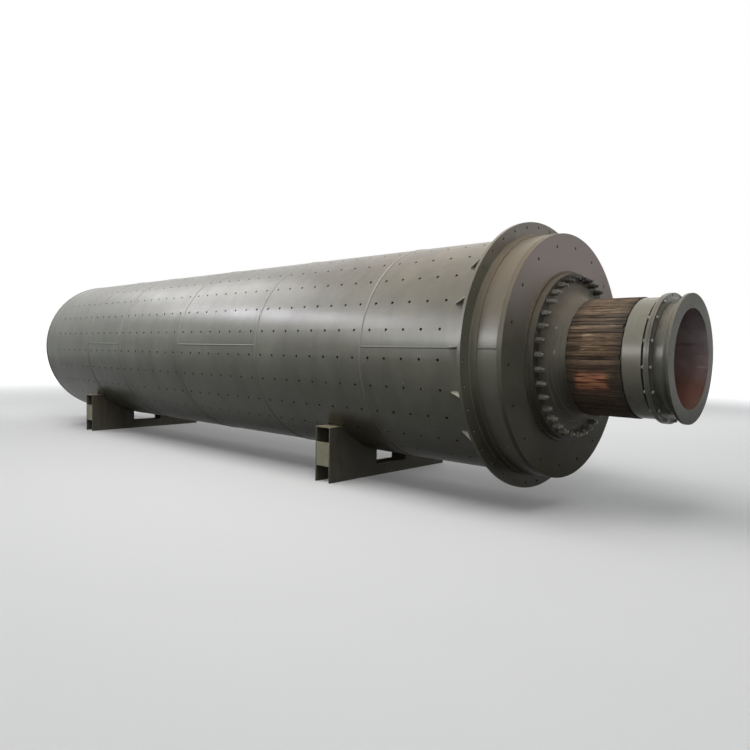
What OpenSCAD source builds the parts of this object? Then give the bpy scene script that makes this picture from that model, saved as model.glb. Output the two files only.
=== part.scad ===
// Ball mill: a drilled drum with a gear flange, end covers, trunnions and sleeves, on two saddles.
// The mill's axis runs along X, the gear flange is near the +X end, and the floor is at Z = 0.
// Angles around the axis are heights above the horizontal on the -Y side.

/* [Drum] */
// Inside diameter of the drum
drum_bore_d = 2600; // [2400:10:2800]
// Thickness of the shell plate
shell_t = 24; // [18:1:32]
// Distance between liner bolt holes along the drum
hole_pitch = 250; // [240:1:280]
// Number of liner bolt holes around the drum
hole_rows = 26; // [20:2:28]
// Diameter of a liner bolt hole
hole_d = 32; // [24:1:40]
// Angle of the first row of liner bolt holes
row_angle = -2.3; // [-6:0.1:6]
// Columns of holes in the first course, beside the gear flange
first_cols = 5; // [4:1:7]
// Columns of holes in each of the three long courses
long_cols = 8; // [6:1:9]
// Columns of holes in the short course
short_cols = 5; // [4:1:7]
// Columns of holes in the last course
last_cols = 6; // [4:1:7]
// Gear end cover's outer face to the first column of holes
near_margin = 760; // [720:10:900]
// Last column of holes to the other cover's outer face
far_margin = 670; // [500:10:900]

/* [Gear flange] */
// How far the gear flange stands out from the shell
flange_rise = 161; // [140:1:200]
// Thickness of the gear flange
flange_t = 36; // [20:1:50]
// Gear end cover's outer face to the front of the gear flange
flange_setback = 364; // [320:2:420]
// Gear flange's rim to its bolt circle
flange_edge = 57; // [45:1:75]
// Number of bolt holes in the gear flange
flange_holes = 36; // [24:1:48]
// Diameter of a gear flange bolt hole
flange_hole_d = 30; // [20:1:40]
// Angle of the first gear flange bolt hole
flange_angle = -2; // [-5:0.5:5]
// Length of the thick hub in front of the gear flange
hub_l = 78; // [40:2:120]
// How far the hub stands proud of the shell
hub_rise = 12; // [6:1:20]
// Radius of the fillet between the hub and the gear flange
hub_fillet = 10; // [5:1:15]
// Number of gussets behind the gear flange
gusset_count = 18; // [12:1:24]
// Length of a gusset along the shell
gusset_l = 215; // [150:5:260]
// Gear flange's rim to the top of a gusset
gusset_drop = 21; // [10:1:60]
// Thickness of a gusset
gusset_t = 12; // [8:1:20]
// Height of the blunt ends of a gusset
gusset_toe = 14; // [8:1:25]
// Angle of the first gusset
gusset_angle = 3.3; // [-5:0.1:8]

/* [End covers] */
// Thickness of an end cover
cover_t = 50; // [35:1:70]
// Cover's rim to its circle of bolt holes
cover_edge = 131; // [60:1:180]
// Number of bolt holes in a cover
cover_holes = 18; // [12:1:24]
// Diameter of a cover's bolt hole
cover_hole_d = 33; // [24:1:42]
// Angle of the first bolt hole in a cover
cover_angle = -4; // [-10:0.5:10]
// How far the seat ring stands out past the trunnion's flange
seat_ring_margin = 30; // [15:1:60]
// Thickness of the raised seat ring
seat_ring_t = 22; // [12:1:30]

/* [Trunnions] */
// Diameter of the journal
journal_d = 1176; // [1140:2:1240]
// Length of the journal between its neck and its collar
journal_l = 563; // [400:1:700]
// Wall of the trunnion at the journal
journal_wall = 73; // [50:1:90]
// Cover's outer face to the start of the journal
journal_start = 284; // [280:2:320]
// How far the neck stands proud of the journal
neck_rise = 18; // [10:1:25]
// Radius of the fillet between the flange and the neck
neck_fillet = 165; // [120:5:185]
// Width of the trunnion flange's flat rim outside its fillet
tr_flange_w = 124; // [100:2:160]
// Thickness of a trunnion's flange
tr_flange_t = 66; // [45:1:80]
// Trunnion flange's rim to its circle of stud holes
stud_edge = 57; // [40:1:70]
// Number of stud holes in a trunnion's flange
stud_holes = 36; // [24:1:40]
// Diameter of a stud hole
stud_hole_d = 39; // [30:1:45]
// Angle of the first stud hole
stud_angle = 1.2; // [-5:0.1:5]
// How far the spigot inside the cover stands out past the journal
spigot_rise = 52; // [30:1:80]
// Length of the collar
collar_l = 186; // [150:2:240]
// How far the collar stands proud of the journal
collar_rise = 15; // [10:1:40]
// Radius of the collar's rounded edge at the journal
collar_round = 10; // [4:1:14]
// Thickness of the boards wrapped round a journal
wrap_t = 26; // [12:1:32]

/* [Sleeves] */
// Wall of a sleeve inside the trunnion, with its clearance
sleeve_t = 25; // [12:1:35]
// Gap between the collar and the sleeve's mounting flange
sleeve_gap = 34; // [10:1:45]
// How far the mounting flange stands out past the collar
mount_rise = 38; // [25:1:60]
// Thickness of the mounting flange
mount_flange_t = 59; // [40:1:70]
// Width and depth of the groove in the mounting flange's rim
mount_groove = 4; // [2:1:8]
// Mounting flange's rim to its bolt circle
mount_edge = 23; // [18:1:30]
// Number of bolt holes in the mounting flange
mount_holes = 16; // [12:1:20]
// Diameter of a bolt hole in the mounting flange
mount_hole_d = 24; // [18:1:28]
// Angle of the first bolt hole in the mounting flange
mount_angle = -7.2; // [-11:0.1:11]
// Wall of the sleeve's neck outside the mounting flange
sleeve_neck_wall = 58; // [35:1:80]
// Length of the sleeve's neck
sleeve_neck_l = 138; // [100:2:180]
// Radius of the flare up to the end flange
sleeve_flare = 75; // [40:1:90]
// How far the end flange stands out past the flare
end_rim = 9; // [4:1:20]
// Thickness of the end flange
end_flange_t = 26; // [16:1:60]

/* [Saddles] */
// Height of the gear flange above the floor
floor_gap = 145; // [60:5:300]
// Middle of the mill to the saddle nearer the gear end
near_saddle_x = 2905; // [2000:5:4500]
// Middle of the mill to the other saddle
far_saddle_x = 3890; // [2000:5:4500]
// Width of a saddle along the mill
saddle_w = 262; // [200:2:400]
// Height of a saddle's webs
saddle_h = 688; // [500:2:800]
// Thickness of the web plates
web_t = 16; // [10:1:25]
// Width of the notch in the middle of a web
notch_w = 590; // [300:10:700]
// Height of the strip left under the notch
tie_h = 145; // [100:5:240]
// Thickness of the cap plates
cap_t = 12; // [8:1:20]
// Length of a cap plate beside the drum
cap_l = 220; // [120:5:400]
// Thickness of the end plates
end_plate_t = 16; // [10:1:25]
// Height of the end plates' lower edge above the floor
end_plate_z = 205; // [150:5:250]
// Height of an end plate
end_plate_h = 298; // [200:2:400]

/* [Hidden] */

steel_grey = [0.55, 0.56, 0.53];
board_brown = [0.45, 0.34, 0.25];

// Clearance between round pieces that fit into each other
fit = 0.3;
// How far cutting tools reach past what they cut
past = 20;

drum_r = drum_bore_d / 2;
shell_r = drum_r + shell_t;
flange_r = shell_r + flange_rise;
axis_h = flange_r + floor_gap;

// Columns of holes are counted from the gear end, and courses meet halfway between two columns
course_cols = [first_cols, long_cols, long_cols, long_cols, short_cols, last_cols];
function sum(list, count) = count == 0 ? 0 : list[count - 1] + sum(list, count - 1);
function cols_before(course) = sum(course_cols, course);
all_cols = cols_before(len(course_cols));
drum_l = near_margin + (all_cols - 1) * hole_pitch + far_margin;
cover_face = drum_l / 2;
cover_back = cover_face - cover_t;
function column_x(column) = cover_face - near_margin - column * hole_pitch;
function seam_x(column) = column_x(column) + hole_pitch / 2;

flange_front = cover_face - flange_setback;
flange_back = flange_front - flange_t;
hub_front = flange_front + hub_l;
hub_r = shell_r + hub_rise;

journal_r = journal_d / 2;
neck_r = journal_r + neck_rise;
collar_r = journal_r + collar_rise;
spigot_r = journal_r + spigot_rise;
tr_bore_r = journal_r - journal_wall;
tr_flange_r = neck_r + neck_fillet + tr_flange_w;
stud_r = tr_flange_r - stud_edge;
ring_front = cover_face + seat_ring_t;
tr_face = ring_front + tr_flange_t;
journal_x = cover_face + journal_start;
collar_x = journal_x + journal_l;
collar_front = collar_x + collar_l;

sleeve_bore_r = tr_bore_r - sleeve_t;
mount_flange_r = collar_r + mount_rise;
sleeve_neck_r = sleeve_bore_r + sleeve_neck_wall;
flare_r = sleeve_neck_r + sleeve_flare;
end_flange_r = flare_r + end_rim;
mount_x = collar_front + sleeve_gap;
mount_front = mount_x + mount_flange_t;
end_flange_x = mount_front + sleeve_neck_l;

// The saddles' cradles meet the webs' top edge this far from the middle
cradle_r = shell_r + fit;
cradle_half = sqrt(pow(cradle_r, 2) - pow(axis_h - saddle_h, 2));
saddle_l = 2 * (cradle_half + cap_l);

// Places what is drawn along Z onto the mill's axis, starting at x
module on_axis(x = 0) {
    translate([x, 0, axis_h]) rotate([0, 90, 0]) children();
}

// Repeats what is drawn along X around the mill's axis
module around(count, first_angle) {
    for (k = [0 : count - 1])
        rotate([0, 0, 270 - first_angle - k * 360 / count]) children();
}

// A rectangle of a turned profile, from radius r0 to r1 and from x0 to x1
module band(r0, r1, x0, x1) {
    translate([r0, x0]) square([r1 - r0, x1 - x0]);
}

// A plain ring about the mill's axis
module ring(r0, r1, x0, x1) {
    on_axis() rotate_extrude($fn = 120) band(r0, r1, x0, x1);
}

// A circle of holes along the mill's axis, through everything from x0 to x1
module hole_circle(r, count, first_angle, d, x0, x1) {
    on_axis(x0 - past) around(count, first_angle)
        translate([r, 0, 0]) cylinder(h = x1 - x0 + 2 * past, d = d, $fn = 24);
}

// The stud holes that the trunnion's flange, the seat ring and the cover share
module stud_circle() {
    hole_circle(stud_r, stud_holes, stud_angle, stud_hole_d, cover_back, tr_face);
}

// One rolled course of the shell, drilled for the liner bolts
module shell_course(index) {
    first = cols_before(index);
    last = cols_before(index + 1);
    x_high = index == 0 ? flange_back : seam_x(first);
    x_low = last == all_cols ? -cover_back : seam_x(last);
    color(steel_grey) difference() {
        ring(drum_r, shell_r, x_low, x_high);
        for (column = [first : last - 1])
            on_axis(column_x(column)) around(hole_rows, row_angle) rotate([0, 90, 0])
                translate([0, 0, drum_r - past]) cylinder(h = shell_t + 2 * past, d = hole_d, $fn = 24);
    }
}

// The short length of shell between the gear flange and the cover
module end_barrel() {
    color(steel_grey) ring(drum_r, shell_r, hub_front, cover_back);
}

// The forged ring that the girth gear is bolted to
module gear_flange() {
    color(steel_grey) difference() {
        on_axis() rotate_extrude($fn = 180) difference() {
            union() {
                band(drum_r, flange_r, flange_back, flange_front);
                band(drum_r, hub_r, flange_back, hub_front);
                band(drum_r, hub_r + hub_fillet, flange_back, flange_front + hub_fillet);
            }
            translate([hub_r + hub_fillet, flange_front + hub_fillet]) circle(r = hub_fillet, $fn = 48);
        }
        hole_circle(flange_r - flange_edge, flange_holes, flange_angle, flange_hole_d,
            flange_back, flange_front);
    }
}

// Triangular plates that prop the gear flange from behind
module flange_gussets() {
    gusset_h = flange_rise - gusset_drop;
    color(steel_grey) on_axis(flange_back) around(gusset_count, gusset_angle) rotate([90, 0, 0])
        linear_extrude(gusset_t, center = true) translate([shell_r, 0])
            polygon([[0, 0], [gusset_h, 0], [gusset_h, -gusset_toe], [gusset_toe, -gusset_l], [0, -gusset_l]]);
}

// The flat end of the drum, with its circle of bolt holes
module end_cover() {
    color(steel_grey) difference() {
        ring(spigot_r + fit, shell_r, cover_back, cover_face);
        hole_circle(shell_r - cover_edge, cover_holes, cover_angle, cover_hole_d, cover_back, cover_face);
        stud_circle();
    }
}

// The raised ring that the trunnion's flange seats on
module seat_ring() {
    color(steel_grey) difference() {
        ring(spigot_r + fit, tr_flange_r + seat_ring_margin, cover_face, ring_front);
        stud_circle();
    }
}

// The hollow journal casting: spigot, flange, filleted neck, journal and collar
module trunnion() {
    fillet_r = neck_r + neck_fillet;
    round_r = collar_r - collar_round;
    color(steel_grey) difference() {
        on_axis() rotate_extrude($fn = 120) difference() {
            union() {
                band(tr_bore_r, spigot_r, cover_back, ring_front);
                band(tr_bore_r, tr_flange_r, ring_front, tr_face);
                band(tr_bore_r, fillet_r, tr_face, tr_face + neck_fillet);
                band(tr_bore_r, neck_r, tr_face, journal_x);
                band(tr_bore_r, journal_r, journal_x, collar_x);
                band(tr_bore_r, round_r, collar_x, collar_front);
                band(tr_bore_r, collar_r, collar_x + collar_round, collar_front);
                translate([round_r, collar_x + collar_round]) circle(r = collar_round, $fn = 48);
            }
            translate([fillet_r, tr_face + neck_fillet]) circle(r = neck_fillet, $fn = 96);
        }
        stud_circle();
    }
}

// Boards laid side by side round the journal to protect it
module journal_wrap() {
    color(board_brown) ring(journal_r + fit, journal_r + wrap_t, journal_x, collar_x);
}

// The sleeve that lines the trunnion, with its mounting flange and flared neck
module sleeve() {
    groove_x = mount_x + (mount_flange_t - mount_groove) / 2;
    color(steel_grey) difference() {
        on_axis() rotate_extrude($fn = 120) difference() {
            union() {
                band(sleeve_bore_r, tr_bore_r - fit, cover_back, mount_x);
                band(sleeve_bore_r, mount_flange_r, mount_x, mount_front);
                band(sleeve_bore_r, sleeve_neck_r, mount_front, end_flange_x);
                band(sleeve_bore_r, flare_r, end_flange_x - sleeve_flare, end_flange_x);
            }
            translate([flare_r, end_flange_x - sleeve_flare]) circle(r = sleeve_flare, $fn = 64);
            band(mount_flange_r - mount_groove, mount_flange_r + past, groove_x, groove_x + mount_groove);
        }
        hole_circle(mount_flange_r - mount_edge, mount_holes, mount_angle, mount_hole_d,
            mount_x, mount_front);
    }
}

// The flange at the sleeve's outer end
module end_flange() {
    color(steel_grey) ring(sleeve_bore_r, end_flange_r, end_flange_x, end_flange_x + end_flange_t);
}

// One upright plate of a saddle, cut to the drum's curve and notched in the middle
module saddle_web(x) {
    color(steel_grey) translate([x, 0, 0]) rotate([90, 0, 90]) linear_extrude(web_t) difference() {
        translate([-saddle_l / 2, 0]) square([saddle_l, saddle_h]);
        translate([0, axis_h]) circle(r = cradle_r, $fn = 180);
        translate([-notch_w / 2, tie_h]) square([notch_w, saddle_h]);
    }
}

// The two plates on top of a saddle's ends, trimmed to the drum
module saddle_caps(x) {
    color(steel_grey) difference() {
        translate([x, -saddle_l / 2, saddle_h]) cube([saddle_w, saddle_l, cap_t]);
        on_axis(x - past) cylinder(h = saddle_w + 2 * past, r = cradle_r, $fn = 180);
    }
}

// The two plates that close the middle of a saddle's ends
module saddle_end_plates(x) {
    color(steel_grey) for (y = [-saddle_l / 2, saddle_l / 2 - end_plate_t])
        translate([x + web_t, y, end_plate_z]) cube([saddle_w - 2 * web_t, end_plate_t, end_plate_h]);
}

near_saddle_low = near_saddle_x - saddle_w / 2;
near_saddle_high = near_saddle_x + saddle_w / 2;
far_saddle_low = -far_saddle_x - saddle_w / 2;
far_saddle_high = -far_saddle_x + saddle_w / 2;

// The far end repeats the near end, turned about
module far_end() {
    mirror([1, 0, 0]) children();
}

shell_course(0);  // shell_course_1
shell_course(1);  // shell_course_2
shell_course(2);  // shell_course_3
shell_course(3);  // shell_course_4
shell_course(4);  // shell_course_5
shell_course(5);  // shell_course_6
end_barrel();
gear_flange();
flange_gussets();
end_cover();  // near_cover
seat_ring();  // near_seat_ring
trunnion();  // near_trunnion
journal_wrap();  // near_journal_wrap
sleeve();  // near_sleeve
end_flange();  // near_end_flange
far_end() end_cover();  // far_cover
far_end() seat_ring();  // far_seat_ring
far_end() trunnion();  // far_trunnion
far_end() journal_wrap();  // far_journal_wrap
far_end() sleeve();  // far_sleeve
far_end() end_flange();  // far_end_flange
saddle_web(near_saddle_low);  // near_saddle_inner_web
saddle_web(near_saddle_high - web_t);  // near_saddle_outer_web
saddle_caps(near_saddle_low);  // near_saddle_caps
saddle_end_plates(near_saddle_low);  // near_saddle_end_plates
saddle_web(far_saddle_high - web_t);  // far_saddle_inner_web
saddle_web(far_saddle_low);  // far_saddle_outer_web
saddle_caps(far_saddle_low);  // far_saddle_caps
saddle_end_plates(far_saddle_low);  // far_saddle_end_plates
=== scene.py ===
import math
import random

import bpy
from bpy.props import FloatProperty, FloatVectorProperty, IntProperty, PointerProperty
from mathutils import Euler, Matrix, Vector


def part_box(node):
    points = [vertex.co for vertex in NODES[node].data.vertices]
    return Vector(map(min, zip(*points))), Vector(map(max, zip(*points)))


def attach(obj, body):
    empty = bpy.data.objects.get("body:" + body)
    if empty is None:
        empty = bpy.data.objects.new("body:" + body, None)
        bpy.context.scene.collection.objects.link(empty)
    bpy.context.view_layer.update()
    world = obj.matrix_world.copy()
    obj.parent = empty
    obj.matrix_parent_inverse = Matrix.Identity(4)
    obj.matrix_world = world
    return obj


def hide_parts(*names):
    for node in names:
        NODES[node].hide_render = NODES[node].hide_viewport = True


bl_info = {
    "name": "Ball Mill Finish",
    "version": (1, 0, 0),
    "blender": (4, 5, 0),
    "location": "View3D > Sidebar > Ball Mill",
    "description": "Paint, welds, boards, studs and studio for the ball mill on its saddles",
    "category": "Object",
}

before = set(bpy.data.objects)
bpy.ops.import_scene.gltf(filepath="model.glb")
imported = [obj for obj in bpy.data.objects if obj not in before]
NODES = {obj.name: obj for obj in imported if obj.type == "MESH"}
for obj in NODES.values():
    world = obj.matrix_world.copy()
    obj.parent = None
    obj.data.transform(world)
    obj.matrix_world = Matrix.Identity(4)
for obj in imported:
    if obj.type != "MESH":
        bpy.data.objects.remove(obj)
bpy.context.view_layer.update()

MATERIALS = {}
QUARTER_TURN = math.radians(90)
ENDS = {"near": 1, "far": -1}
COURSES = ["shell_course_%d" % number for number in range(1, 7)]

# Places along the axis count from the middle of the drum, heights from the floor, all in metres.
AXIS_HEIGHT = 1.630
SHELL_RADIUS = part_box("shell_course_3")[1][2] - AXIS_HEIGHT
SHELL_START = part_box("shell_course_6")[0][0]
SHELL_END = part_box("shell_course_1")[1][0]
FLANGE_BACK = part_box("gear_flange")[0][0]
COVER_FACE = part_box("near_cover")[1][0]
WRAP_START, WRAP_END = (corner[0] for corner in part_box("near_journal_wrap"))
COLLAR_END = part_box("near_trunnion")[1][0]
TRUNNION_FACE = 5.678
MOUNT_FACE = 6.716
MOUNT_THICKNESS = 0.059
TRUNNION_PRIMER_RADIUS = 0.518
SLEEVE_PRIMER_RADIUS = 0.4945


def both(*parts):
    """The near node and the far node of each part."""
    return [end + part for part in parts for end in ENDS]


# The CAD nodes that take each finish. The boards replace the journal wraps.
PAINTED = {
    "drum": COURSES + ["end_barrel", "gear_flange"],
    "gusset": ["flange_gussets"],
    "cover": both("_cover"),
    "casting": both("_seat_ring", "_trunnion"),
    "sleeve": both("_sleeve"),
    "end_flange": both("_end_flange"),
    "saddle_web": both("_saddle_inner_web", "_saddle_outer_web"),
    "saddle_plate": both("_saddle_caps", "_saddle_end_plates"),
}


def colour_of(name, description, default):
    return FloatVectorProperty(
        name=name, description=description, subtype="COLOR", size=3, min=0, max=1, default=default)


def length_of(name, description, default, **limits):
    return FloatProperty(name=name, description=description, unit="LENGTH", default=default, **limits)


def angle_of(name, description, degrees):
    return FloatProperty(name=name, description=description, unit="ROTATION", default=math.radians(degrees))


def power_of(name, description, default):
    return FloatProperty(name=name, description=description, unit="POWER", default=default)


class PaintSettings(bpy.types.PropertyGroup):
    drum_colour: colour_of("Drum enamel", "Grey enamel on shell, covers and flange", (0.177, 0.188, 0.150))
    near_tint: colour_of("Near end tint", "Browner enamel towards the gear flange end", (0.184, 0.182, 0.142))
    casting_colour: colour_of("Casting enamel", "Enamel on trunnions and seat rings", (0.166, 0.157, 0.123))
    sleeve_colour: colour_of("Sleeve enamel", "Enamel on the sleeves and end flanges", (0.188, 0.188, 0.155))
    dust_colour: colour_of("Dust", "Pale dust lying on faces that look up", (0.322, 0.276, 0.284))
    near_dust_colour: colour_of("Near end dust", "Tan dust towards the near end", (0.375, 0.286, 0.228))
    # Gusset dust: painted light, a pale colour on the gussets' upward faces that stands in for the light they
    # catch.
    gusset_painted_light_colour: colour_of("Gusset dust", "Pale dust on the gussets", (0.54, 0.55, 0.42))
    # Grime: a dark stain, and also the colour of painted shade low on the drum and welds and of the painted
    # shadow beside the seams.
    grime_and_shade_colour: colour_of("Grime", "Dark oily stain", (0.030, 0.027, 0.021))
    primer_colour: colour_of("Primer", "Red primer inside the bores", (0.330, 0.185, 0.145))
    # Primer haze: grey haze made pale as painted light high up in the bores, where little light reaches.
    haze_and_light_colour: colour_of("Primer haze", "Grey haze high up in the bores", (0.700, 0.615, 0.650))
    rust_colour: colour_of("Rust", "Rust on edges and bare spots", (0.16, 0.07, 0.03))
    weld_colour: colour_of("Seam weld", "Paint on the round seam welds", (0.190, 0.181, 0.160))
    end_weld_colour: colour_of("End weld", "Paint on the welds at the drum's ends", (0.190, 0.160, 0.118))
    # Saddle web: darker than the plates as painted shade under the drum.
    saddle_web_shade_colour: colour_of("Saddle web", "Paint on the saddles' webs", (0.135, 0.128, 0.100))
    saddle_plate_colour: colour_of("Saddle plate", "Paint on the caps and end plates", (0.360, 0.350, 0.240))
    saddle_weld_colour: colour_of("Saddle weld", "Paint on the saddles' welds", (0.120, 0.112, 0.088))
    stud_colour: colour_of("Stud steel", "Dull steel of the studs", (0.200, 0.195, 0.160))
    bolt_colour: colour_of("Bolt steel", "Steel of the sleeve bolts", (0.30, 0.29, 0.26))
    dust_cover: FloatProperty(
        name="Dust cover", description="How much of an upward face is dusty",
        subtype="FACTOR", min=0, max=1, default=0.55)


class WeldSettings(bpy.types.PropertyGroup):
    seam_bead: length_of("Seam bead radius", "Mostly sunk in the plate", 0.019, min=0.004, max=0.03)
    seam_proud: length_of("Seam bead height", "How far it stands proud", 0.0062, min=0.001, max=0.01)
    fillet_bead: length_of("Fillet bead radius", "Beads at gussets and saddles", 0.0065, min=0.002, max=0.02)
    long_seam_angle: angle_of("Long seam angle", "Lengthwise seams, above the drum's middle", 3.2)


class BoardSettings(bpy.types.PropertyGroup):
    count: IntProperty(
        name="Battens", description="Rough battens round each journal", min=40, max=140, default=86)
    thickness: length_of("Batten thickness", "Thickness of a batten", 0.0225, min=0.01, max=0.03)
    seed: IntProperty(name="Seed", description="Seed of the battens' unevenness", default=7)


class FastenerSettings(bpy.types.PropertyGroup):
    stud_count: IntProperty(
        name="Studs", description="Studs in each trunnion flange", min=4, max=72, default=36)
    stud_circle: length_of("Stud circle radius", "Radius of the circle of studs", 0.838)
    stud_start: angle_of("First stud", "Angle of the first stud above the middle", 1.2)
    stud_reach: length_of("Stud reach", "How far a stud's end stands out of the trunnion flange", 0.089)
    stud_spread: length_of("Stud spread", "How much further the longest stud stands out", 0.020)
    nut_flats: length_of("Nut across flats", "Width of the stud nuts", 0.055)
    bolt_count: IntProperty(
        name="Sleeve bolts", description="Bolts in each sleeve's mounting flange", min=4, max=36, default=16)
    bolt_circle: length_of("Sleeve bolt circle radius", "Radius of the circle of sleeve bolts", 0.618)
    bolt_start: angle_of("First sleeve bolt", "Angle of the first sleeve bolt above the middle", -7.2)


class StageSettings(bpy.types.PropertyGroup):
    camera_place: FloatVectorProperty(
        name="Camera place", description="Where the camera stands",
        subtype="TRANSLATION", unit="LENGTH", size=3, default=(9.014, -6.685, 1.682))
    camera_turn: FloatVectorProperty(
        name="Camera turn", description="How the camera is turned",
        subtype="EULER", unit="ROTATION", size=3,
        default=(math.radians(87.72811552), math.radians(-0.87237965), math.radians(43.39166448)))
    lens: FloatProperty(
        name="Lens", description="Focal length in millimetres on a 36 mm sensor", min=10, max=200,
        default=31.6691)
    floor_size: length_of("Floor size", "Side of the studio floor", 240.0)
    overhead_power: power_of("Overhead lamp", "Power of the large lamp above the mill", 520.0)
    window_power: power_of("Window lamp", "Power of the lamp that draws the long highlight", 3250.0)
    window_roll: FloatProperty(
        name="Window lamp roll", description="Roll of the long lamp in degrees", default=-25.0)
    window_glow_power: power_of("Window glow lamp", "Power of the weak lamp under the long one", 238.0)
    roof_power: power_of("Roof lamp", "Power of the lamp above the far end", 575.0)
    low_window_power: power_of("Low window lamp", "Power of the near end's highlight lamp", 1000.0)
    side_power: power_of("Side lamp", "Power of the soft lamp beside the camera", 100.0)
    back_power: power_of("Back lamp", "Power of the lamp behind the mill", 700.0)
    fill: FloatProperty(
        name="Sky fill", description="Strength of the even light from the world", min=0, max=2, default=0.27)


def deselect():
    """Leaves edit mode and clears the selection."""
    if bpy.context.object and bpy.context.object.mode != "OBJECT":
        bpy.ops.object.mode_set(mode="OBJECT")
    bpy.ops.object.select_all(action="DESELECT")


def pick(obj):
    """Makes one object the only selected and active one."""
    deselect()
    obj.select_set(True)
    bpy.context.view_layer.objects.active = obj


def name_new(name):
    """Names the primitive that was just added and returns it."""
    obj = bpy.context.object
    obj.name = name
    obj.data.name = name
    return obj


def settle(obj):
    """Moves an object's place, turn and scale into its mesh."""
    pick(obj)
    bpy.ops.object.transform_apply(location=True, rotation=True, scale=True)


def primitive(add, name, **options):
    """Adds a primitive with one of the bpy.ops.mesh operators, and settles it."""
    deselect()
    add(**options)
    obj = name_new(name)
    settle(obj)
    return obj


def edit(obj, everything=False):
    """Opens one object in edit mode with nothing selected, or with everything."""
    pick(obj)
    bpy.ops.object.mode_set(mode="EDIT")
    bpy.ops.mesh.select_all(action="DESELECT")
    if everything:
        bpy.ops.mesh.select_all(action="SELECT")


def close_edit():
    bpy.ops.object.mode_set(mode="OBJECT")


def select_points(obj, test):
    """Selects the points whose place passes a test, while in edit mode."""
    bpy.ops.mesh.select_mode(type="VERT")
    bpy.ops.object.mode_set(mode="OBJECT")
    for point in obj.data.vertices:
        point.select = test(point.co)
    bpy.ops.object.mode_set(mode="EDIT")


def roughen(obj, amount, seed):
    """Moves every point a little at random, as hand work does."""
    edit(obj, everything=True)
    bpy.ops.transform.vertex_random(offset=amount, uniform=1.0, seed=seed)
    close_edit()


def apply_all(obj):
    """Applies every modifier of an object."""
    pick(obj)
    for modifier in list(obj.modifiers):
        bpy.ops.object.modifier_apply(modifier=modifier.name)


def chamfer(obj, width, angle=30):
    """Chamfers the edges that turn by more than an angle in degrees."""
    bevel = obj.modifiers.new("chamfer", "BEVEL")
    bevel.width = width
    bevel.segments = 1
    bevel.limit_method = "ANGLE"
    bevel.angle_limit = math.radians(angle)
    apply_all(obj)


def smooth(obj, angle):
    """Shades an object smooth, and sharp past an angle in degrees."""
    pick(obj)
    bpy.ops.object.shade_smooth_by_angle(angle=math.radians(angle))


def turn_outward(obj):
    """Merges doubled points and turns all faces outward."""
    edit(obj, everything=True)
    bpy.ops.mesh.remove_doubles(threshold=0.00005)
    bpy.ops.mesh.normals_make_consistent(inside=False)
    close_edit()


def copies(pattern, places):
    """Copies one finished piece to each place, every copy with its own mesh."""
    made = []
    for place in places:
        twin = bpy.data.objects.new(pattern.name, pattern.data.copy())
        twin.data.transform(place)
        bpy.context.scene.collection.objects.link(twin)
        made.append(twin)
    return made


def join(parts, name):
    """Joins parts into one object and names it."""
    deselect()
    for part in parts:
        part.select_set(True)
    bpy.context.view_layer.objects.active = parts[0]
    if len(parts) > 1:
        bpy.ops.object.join()
    return name_new(name)


def drop(obj):
    bpy.data.objects.remove(obj)


def finish_piece(parts, name, finish):
    """Joins parts into a piece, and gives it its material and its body."""
    piece = join(parts, name)
    piece.data.materials.clear()
    piece.data.materials.append(MATERIALS[finish])
    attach(piece, "root")
    return piece


def round_drum(x, radius, elevation, side=1):
    """Where a pattern made at the origin goes: its +Z looks out from the axis, its +X along the axis.

    The elevation is in degrees above the middle of the side that the camera sees."""
    face_out = Matrix.Rotation(0 if side > 0 else math.pi, 4, "Z")
    lift = Matrix.Translation((0, 0, radius))
    turn = Matrix.Rotation(math.radians(90 - elevation), 4, "X")
    return Matrix.Translation((x, 0, AXIS_HEIGHT)) @ turn @ lift @ face_out


def bead(name, start, end, radius, steps, seed, ripple=0.0008):
    """A weld bead: a round bar drawn out in short steps and roughened."""
    start = Vector(start)
    run = Vector(end) - start
    turn = run.to_track_quat("Z", "Y").to_euler()
    obj = primitive(
        bpy.ops.mesh.primitive_circle_add, name, vertices=8, radius=radius, fill_type="NGON",
        location=start, rotation=turn)
    edit(obj, everything=True)
    for _ in range(steps):
        bpy.ops.mesh.extrude_region_move(TRANSFORM_OT_translate={"value": run / steps})
    close_edit()
    roughen(obj, ripple, seed)
    turn_outward(obj)
    smooth(obj, 60)
    return obj


def ring_bead(x, radius, bead_radius, seed):
    """A weld bead that runs round the axis."""
    obj = primitive(
        bpy.ops.mesh.primitive_torus_add, "ring_bead", major_segments=220, minor_segments=8,
        major_radius=radius, minor_radius=bead_radius, location=(x, 0, AXIS_HEIGHT),
        rotation=(0, QUARTER_TURN, 0))
    roughen(obj, 0.0008, seed)
    smooth(obj, 60)
    return obj


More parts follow.
